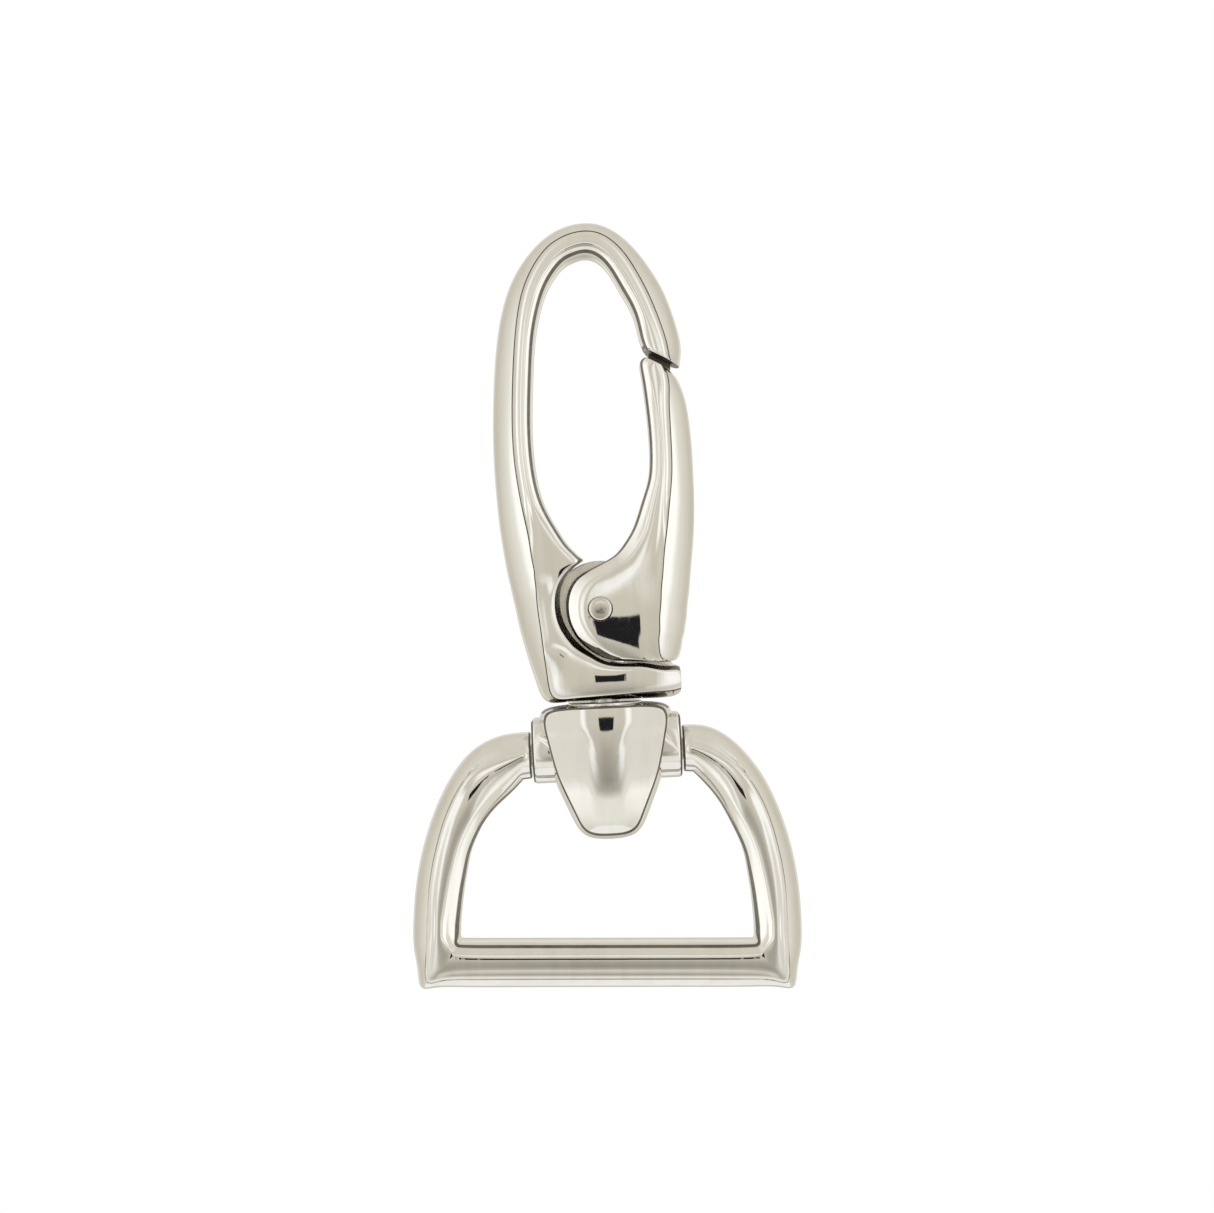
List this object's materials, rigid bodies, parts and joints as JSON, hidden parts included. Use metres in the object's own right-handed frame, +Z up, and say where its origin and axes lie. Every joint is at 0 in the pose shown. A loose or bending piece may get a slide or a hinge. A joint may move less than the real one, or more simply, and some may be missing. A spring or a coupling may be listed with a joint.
{
  "type": "swivel snap hook",
  "caption": "Cast swivel snap hook with an oval eye, an inward-opening spring gate, a swivel block and a hinged D-ring that takes a flat strap.",
  "frame": {"origin": "middle of the crown of the hook's eye, where the ring that it hangs on bears", "axes": "+Z up the swivel axis, +X towards the gate, +Y towards the back; the D-ring hangs flat in the XZ plane"},
  "size_m": [0.0342, 0.0072, 0.0672],
  "materials": {
    "polished_nickel": "bright polished nickel plating on cast zinc",
    "pin_steel": "nickel-plated steel",
    "spring_steel": "plain spring wire"
  },
  "bodies": {
    "hook": {"hook_body": "polished_nickel", "gate_spring": "spring_steel"},
    "gate": {"gate": "polished_nickel", "gate_pin": "pin_steel"},
    "block": {"swivel_block": "polished_nickel", "swivel_post": "pin_steel", "trunnion_pin": "pin_steel", "swivel_washer": "pin_steel", "thrust_washer": "pin_steel"},
    "ring": {"d_ring": "polished_nickel"}
  },
  "joints": [
    {"name": "gate_hinge", "type": "hinge", "parent": "hook", "child": "gate", "pos_m": [0, 0, -0.03085], "axis": [0, -1, 0], "range_deg": [0, 22], "stiffness_Nm_per_rad": 0.02, "springref_deg": -34.38, "deforming": ["gate_spring"]},
    {"name": "swivel", "type": "hinge", "parent": "hook", "child": "block", "pos_m": [0, 0, -0.0392], "axis": [0, 0, 1], "continuous": true},
    {"name": "ring_hinge", "type": "hinge", "parent": "block", "child": "ring", "pos_m": [0, 0, -0.04345], "axis": [1, 0, 0], "range_deg": [-140, 140]}
  ]
}
